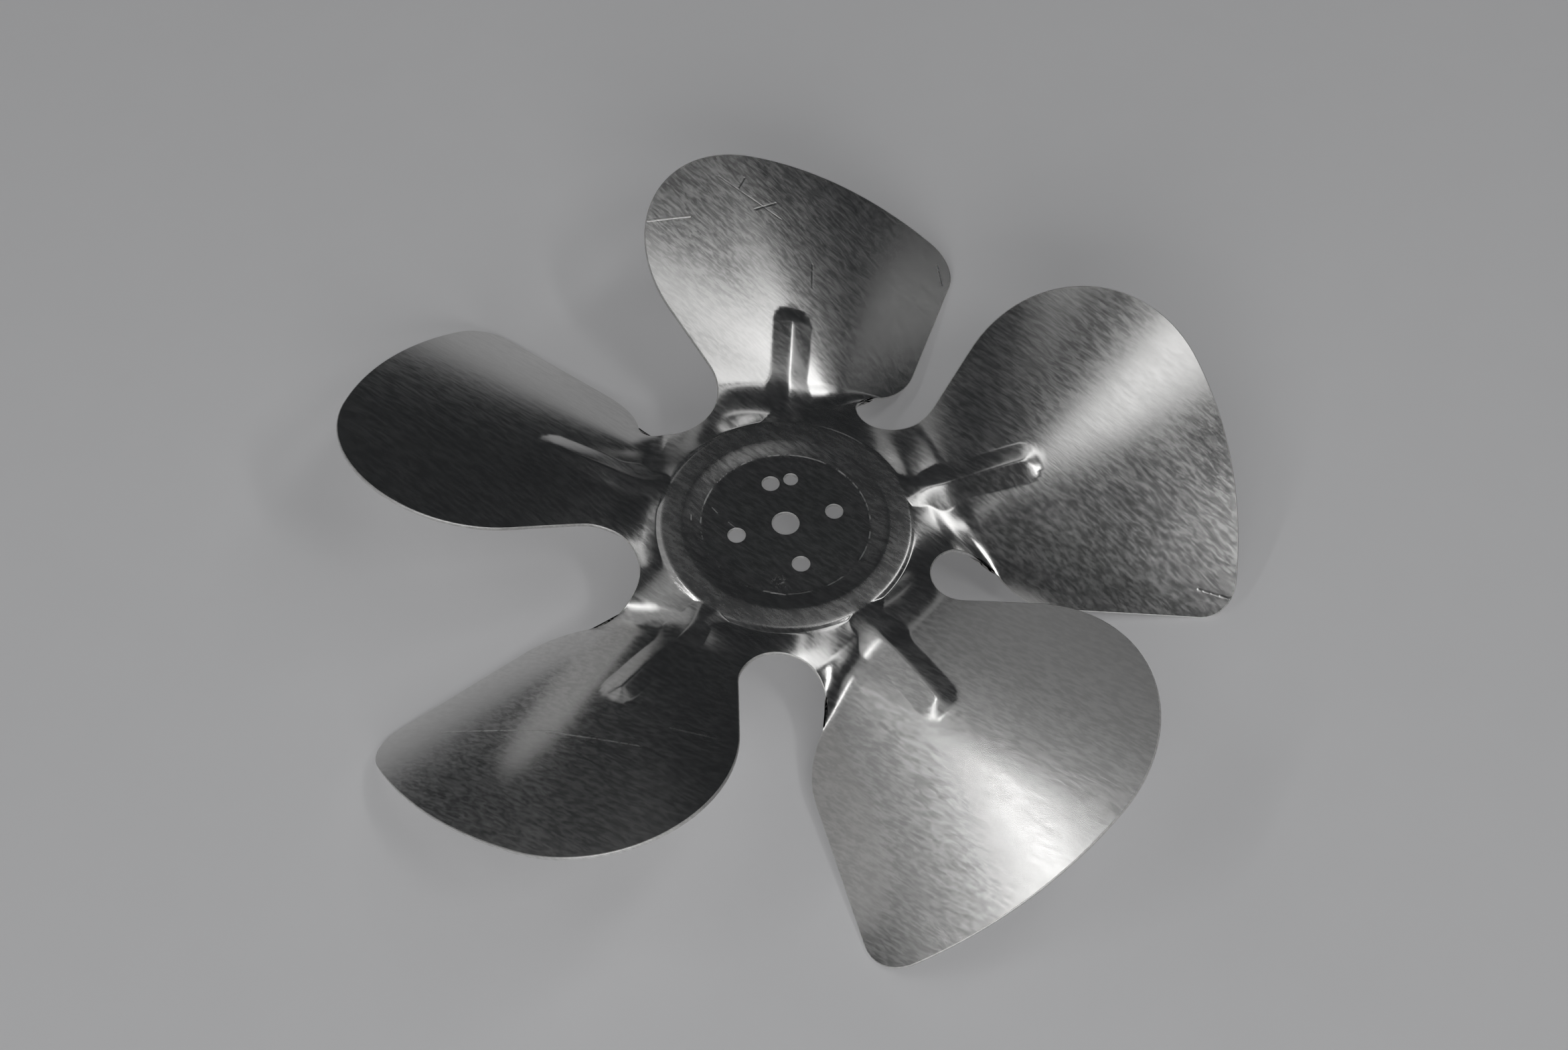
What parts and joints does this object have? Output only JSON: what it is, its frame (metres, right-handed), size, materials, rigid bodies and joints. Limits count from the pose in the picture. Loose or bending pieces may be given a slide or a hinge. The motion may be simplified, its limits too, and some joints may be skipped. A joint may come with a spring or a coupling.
{
  "type": "axial fan impeller",
  "caption": "Pressed sheet aluminium axial fan impeller with conical blades, a ribbed root and a flat drilled hub disc, for a small refrigeration fan motor.",
  "frame": {"origin": "centre of the shaft bore on the inlet face of the hub disc", "axes": "+Z along the shaft towards the inlet; +X along the rib of one blade and through one of the four screw holes"},
  "size_m": [0.2251, 0.226, 0.0397],
  "materials": {
    "sheet_aluminium": "mill finish, rolled and lightly scuffed"
  },
  "bodies": {
    "root": {"impeller": "sheet_aluminium"}
  },
  "joints": []
}
